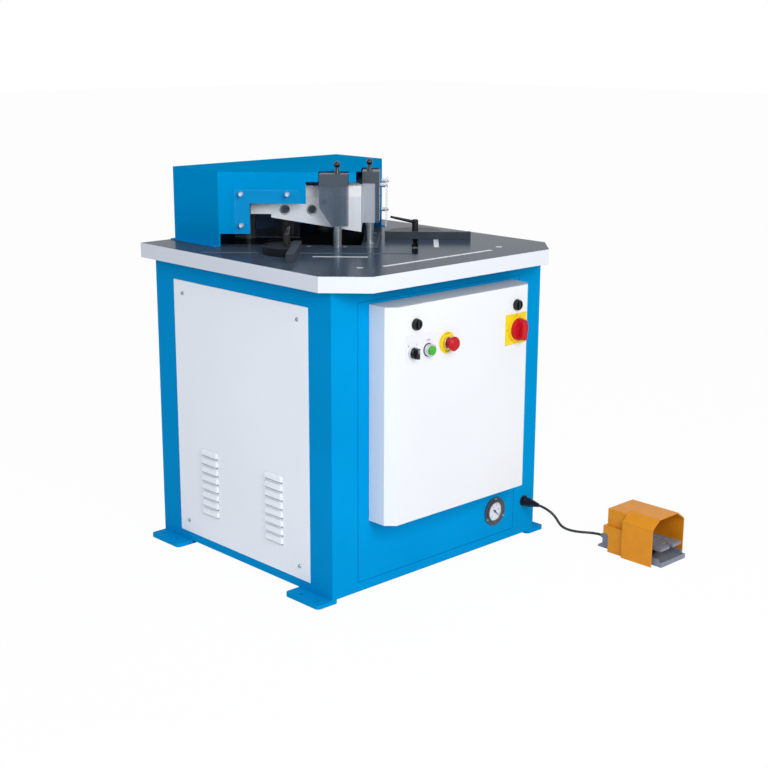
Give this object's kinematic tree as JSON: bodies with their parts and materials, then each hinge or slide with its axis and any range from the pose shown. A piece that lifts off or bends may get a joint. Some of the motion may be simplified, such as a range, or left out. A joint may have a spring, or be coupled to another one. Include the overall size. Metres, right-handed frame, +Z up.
{
  "type": "angle notching machine",
  "caption": "Floor-standing hydraulic angle notcher: V-shaped ram and blades over a slotted table with swivel fences, guards, control box and foot pedal.",
  "frame": {"origin": "centre of the floor anchor pattern, on the floor", "axes": "+X to the right along the control box side, +Y to the back, +Z up from the floor"},
  "size_m": [1.076, 1.267, 1.157],
  "materials": {
    "blue_paint": "satin",
    "white_paint": "satin",
    "screw_steel": "satin",
    "table_steel": "ground",
    "blade_steel": "ground",
    "scale_metal": "satin",
    "shaft_chrome": "polished",
    "bush_bronze": "turned",
    "cast_grey": "machined",
    "cylinder_paint": "satin",
    "clear_sheet": "clear acrylic",
    "guard_grey": "satin",
    "tinted_sheet": "tinted acrylic",
    "fence_black": "blackened steel",
    "bolt_steel": "satin",
    "lever_black": "satin",
    "bezel_chrome": "polished",
    "start_green": "gloss",
    "stop_yellow": "gloss",
    "stop_red": "gloss",
    "gear_grey": "moulded",
    "gauge_steel": "satin",
    "needle_black": "painted",
    "tank_paint": "satin",
    "motor_paint": "painted",
    "valve_steel": "satin",
    "pedal_black": "moulded",
    "pedal_grey": "satin",
    "pedal_orange": "satin",
    "tread_grey": "moulded",
    "cord_grey": "matt"
  },
  "bodies": {
    "machine": {"base_frame": "blue_paint", "front_panel": "blue_paint", "side_panels": "white_paint", "rear_panel": "white_paint", "panel_screws": "screw_steel", "table_plate": "table_steel", "table_screws": "screw_steel", "lower_blades": "blade_steel", "table_scales": "scale_metal", "guide_bushes": "bush_bronze", "guide_block": "cast_grey", "hydraulic_cylinder": "cylinder_paint", "housing": "blue_paint", "side_shields": "clear_sheet", "shield_screws": "screw_steel", "electrical_plate": "gear_grey", "gauge_case": "gauge_steel", "oil_tank": "tank_paint", "pump_motor": "motor_paint", "valve_block": "valve_steel", "pipes": "valve_steel", "pedal_base": "pedal_grey", "pedal_hood": "pedal_orange", "pedal_switch": "pedal_black", "pedal_socket": "pedal_black", "pedal_plug": "pedal_black", "pedal_cord": "cord_grey", "pedal_gland": "pedal_grey"},
    "ram": {"ram": "white_paint", "upper_blades": "blade_steel", "blade_bolts": "screw_steel", "guide_columns": "shaft_chrome", "piston_rod": "shaft_chrome"},
    "guard_left": {"guard_head_left": "guard_grey", "guard_shield_left": "tinted_sheet", "guard_post_left": "shaft_chrome"},
    "guard_right": {"guard_head_right": "guard_grey", "guard_shield_right": "tinted_sheet", "guard_post_right": "shaft_chrome"},
    "slider_left": {"fence_bolt_left": "bolt_steel"},
    "fence_left": {"fence_disc_left": "fence_black", "fence_bar_left": "fence_black"},
    "lever_left": {"fence_lever_left": "lever_black"},
    "slider_right": {"fence_bolt_right": "bolt_steel"},
    "fence_right": {"fence_disc_right": "fence_black", "fence_bar_right": "fence_black"},
    "lever_right": {"fence_lever_right": "lever_black"},
    "box_door": {"box_cover": "white_paint", "legend_plate": "scale_metal", "control_bezels": "bezel_chrome", "stop_disc": "stop_yellow", "isolator_plate": "stop_yellow"},
    "lock_left": {"lock_left": "lever_black"},
    "lock_right": {"lock_right": "lever_black"},
    "selector": {"selector_knob": "lever_black"},
    "start": {"start_button": "start_green"},
    "stop": {"stop_button": "stop_red"},
    "isolator": {"isolator_handle": "stop_red"},
    "needle": {"gauge_needle": "needle_black"},
    "treadle": {"pedal_treadle": "tread_grey"}
  },
  "joints": [
    {"name": "ram_stroke", "type": "slide", "parent": "machine", "child": "ram", "axis": [0, 0, 1], "range_m": [-0.085, 0]},
    {"name": "guard_lift_left", "type": "slide", "parent": "machine", "child": "guard_left", "axis": [0, 0, 1], "range_m": [0, 0.028]},
    {"name": "guard_lift_right", "type": "slide", "parent": "machine", "child": "guard_right", "axis": [0, 0, 1], "range_m": [0, 0.028]},
    {"name": "fence_slide_left", "type": "slide", "parent": "machine", "child": "slider_left", "axis": [-0.7071, 0.7071, 0], "range_m": [-0.145, 0.125]},
    {"name": "fence_turn_left", "type": "hinge", "parent": "slider_left", "child": "fence_left", "pos_m": [-0.25668, -0.02277, 0.92], "axis": [0, 0, 1], "range_deg": [-30, 30]},
    {"name": "lever_turn_left", "type": "hinge", "parent": "slider_left", "child": "lever_left", "pos_m": [-0.25668, -0.02277, 0.95], "axis": [0, 0, 1], "range_deg": [-90, 90]},
    {"name": "fence_slide_right", "type": "slide", "parent": "machine", "child": "slider_right", "axis": [0.7071, 0.7071, 0], "range_m": [-0.108, 0.162]},
    {"name": "fence_turn_right", "type": "hinge", "parent": "slider_right", "child": "fence_right", "pos_m": [0.23052, -0.04893, 0.92], "axis": [0, 0, 1], "range_deg": [-30, 30]},
    {"name": "lever_turn_right", "type": "hinge", "parent": "slider_right", "child": "lever_right", "pos_m": [0.23052, -0.04893, 0.95], "axis": [0, 0, 1], "range_deg": [-90, 90]},
    {"name": "box_hinge", "type": "hinge", "parent": "machine", "child": "box_door", "pos_m": [0.002, -0.3975, 0.2065], "axis": [1, 0, 0], "range_deg": [0, 70]},
    {"name": "lock_turn_left", "type": "hinge", "parent": "box_door", "child": "lock_left", "pos_m": [-0.191, -0.4775, 0.764], "axis": [0, -1, 0], "range_deg": [0, 90]},
    {"name": "lock_turn_right", "type": "hinge", "parent": "box_door", "child": "lock_right", "pos_m": [0.216, -0.4775, 0.764], "axis": [0, -1, 0], "range_deg": [0, 90]},
    {"name": "selector_turn", "type": "hinge", "parent": "box_door", "child": "selector", "pos_m": [-0.204, -0.4775, 0.688], "axis": [0, -1, 0], "range_deg": [-45, 45]},
    {"name": "start_press", "type": "slide", "parent": "box_door", "child": "start", "axis": [0, 1, 0], "range_m": [0, 0.004], "stiffness_N_per_m": 2000, "springref_m": -0.001},
    {"name": "stop_press", "type": "slide", "parent": "box_door", "child": "stop", "axis": [0, 1, 0], "range_m": [0, 0.006], "stiffness_N_per_m": 3000, "springref_m": -0.001},
    {"name": "isolator_turn", "type": "hinge", "parent": "box_door", "child": "isolator", "pos_m": [0.213, -0.4775, 0.695], "axis": [0, -1, 0], "range_deg": [0, 90]},
    {"name": "needle_turn", "type": "hinge", "parent": "machine", "child": "needle", "pos_m": [0.237, -0.3925, 0.114], "axis": [0, -1, 0], "range_deg": [0, 270], "stiffness_Nm_per_rad": 0.02},
    {"name": "treadle_press", "type": "hinge", "parent": "machine", "child": "treadle", "pos_m": [0.525, -0.69, 0.048], "axis": [1, 0, 0], "range_deg": [0, 9], "stiffness_Nm_per_rad": 28, "springref_deg": -3.44}
  ]
}
